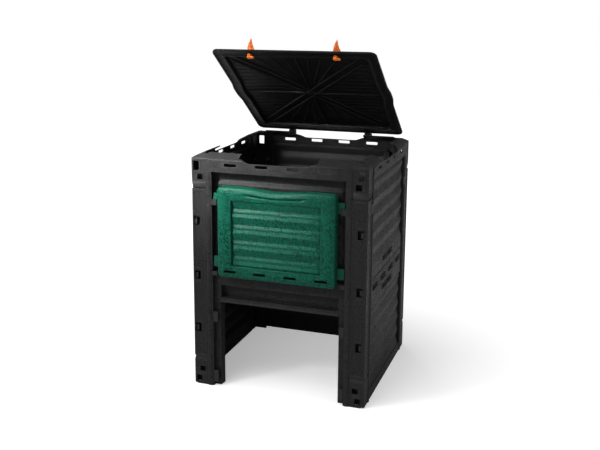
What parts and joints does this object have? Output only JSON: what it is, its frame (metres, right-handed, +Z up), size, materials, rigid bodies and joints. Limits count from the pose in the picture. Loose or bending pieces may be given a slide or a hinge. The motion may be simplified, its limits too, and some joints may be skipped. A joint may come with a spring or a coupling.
{
  "type": "compost bin",
  "caption": "Square free-standing garden compost bin with louvred walls, a hinged lid with quarter-turn latches and a sliding harvest door.",
  "frame": {"origin": "on the ground at the middle of the whole footprint, 11 mm in front of the middle of the four walls because the door stands out at the front", "axes": "+Z up, -Y towards the side with the harvest door, +X to the right as seen from that side; the lid is stored 35 degrees open and the door raised"},
  "size_m": [0.616, 0.638, 1.198],
  "materials": {
    "black_plastic": "satin moulded grain",
    "green_plastic": "satin moulded grain",
    "orange_plastic": "smooth satin"
  },
  "bodies": {
    "bin": {"front_wall": "black_plastic", "right_wall": "black_plastic", "back_wall": "black_plastic", "left_wall": "black_plastic", "clip_front_right_upper": "black_plastic", "clip_front_right_lower": "black_plastic", "clip_back_right_upper": "black_plastic", "clip_back_right_lower": "black_plastic", "clip_back_left_upper": "black_plastic", "clip_back_left_lower": "black_plastic", "clip_front_left_upper": "black_plastic", "clip_front_left_lower": "black_plastic", "hinge_pin_left": "black_plastic", "hinge_pin_right": "black_plastic"},
    "door": {"harvest_door": "green_plastic"},
    "lid": {"lid": "black_plastic"},
    "latch_left": {"latch_knob_left": "orange_plastic", "latch_cam_left": "orange_plastic"},
    "latch_right": {"latch_knob_right": "orange_plastic", "latch_cam_right": "orange_plastic"}
  },
  "joints": [
    {"name": "lid_hinge", "type": "hinge", "parent": "bin", "child": "lid", "pos_m": [0, 0.306, 0.822], "axis": [-1, 0, 0], "range_deg": [-35, 70]},
    {"name": "door_slide", "type": "slide", "parent": "bin", "child": "door", "axis": [0, 0, 1], "range_m": [-0.402, 0.03]},
    {"name": "latch_left_turn", "type": "hinge", "parent": "lid", "child": "latch_left", "pos_m": [-0.15, -0.14941, 1.14271], "axis": [0, 0.5736, 0.8192], "range_deg": [-90, 0]},
    {"name": "latch_right_turn", "type": "hinge", "parent": "lid", "child": "latch_right", "pos_m": [0.15, -0.14941, 1.14271], "axis": [0, 0.5736, 0.8192], "range_deg": [-90, 0]}
  ]
}
